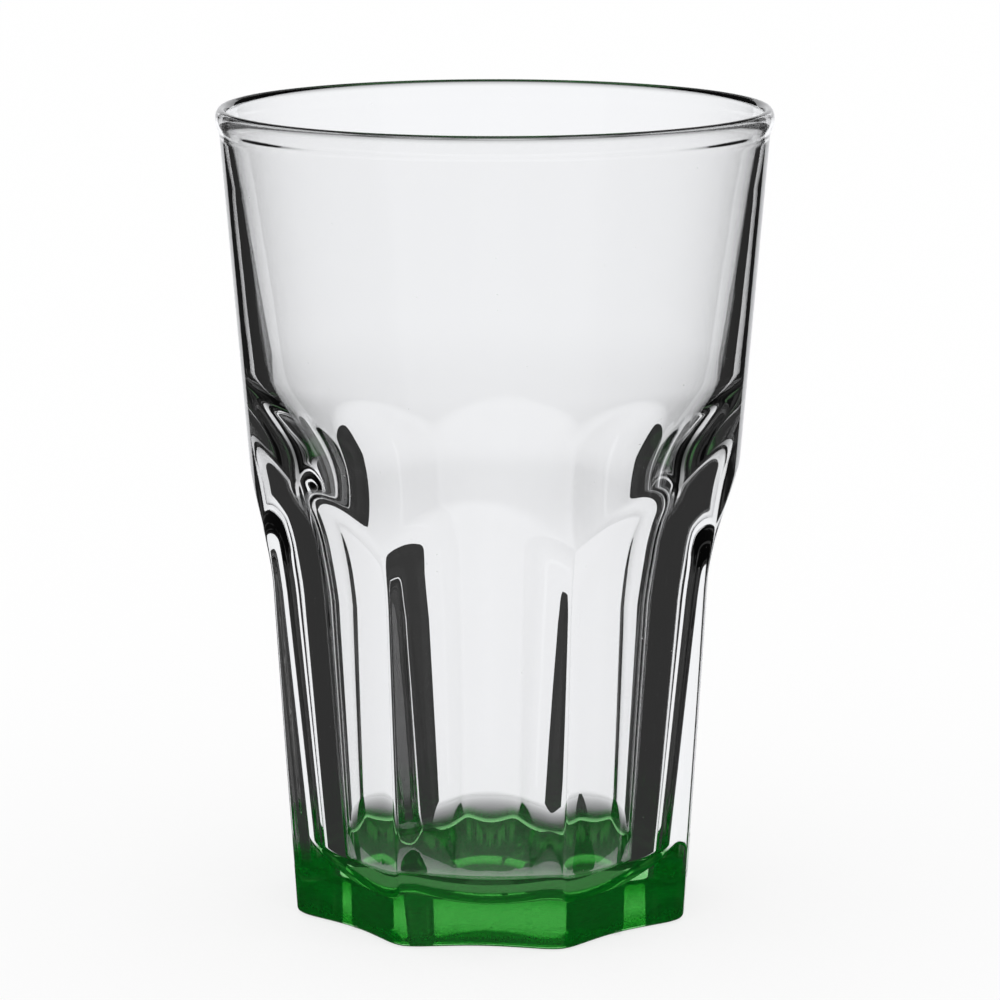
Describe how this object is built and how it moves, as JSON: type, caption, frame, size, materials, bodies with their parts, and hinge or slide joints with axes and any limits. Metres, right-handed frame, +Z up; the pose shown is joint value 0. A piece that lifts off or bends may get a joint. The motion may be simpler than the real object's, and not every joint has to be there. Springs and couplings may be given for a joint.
{
  "type": "beer glass",
  "caption": "Tall pressed-glass beer tumbler with a beaded lip, a flared round wall, arched panels round the lower body and a green colour-coated foot.",
  "frame": {"origin": "on the table, under the middle of the foot", "axes": "+Z up along the glass's axis, towards the lip; -Y is the middle of a panel"},
  "size_m": [0.09, 0.09, 0.1315],
  "materials": {
    "clear_glass": "fire-polished, clear",
    "green_coat": "translucent sprayed lacquer, glossy"
  },
  "bodies": {
    "root": {"glass_body": "clear_glass", "base_colour_coat": "green_coat"}
  },
  "joints": []
}
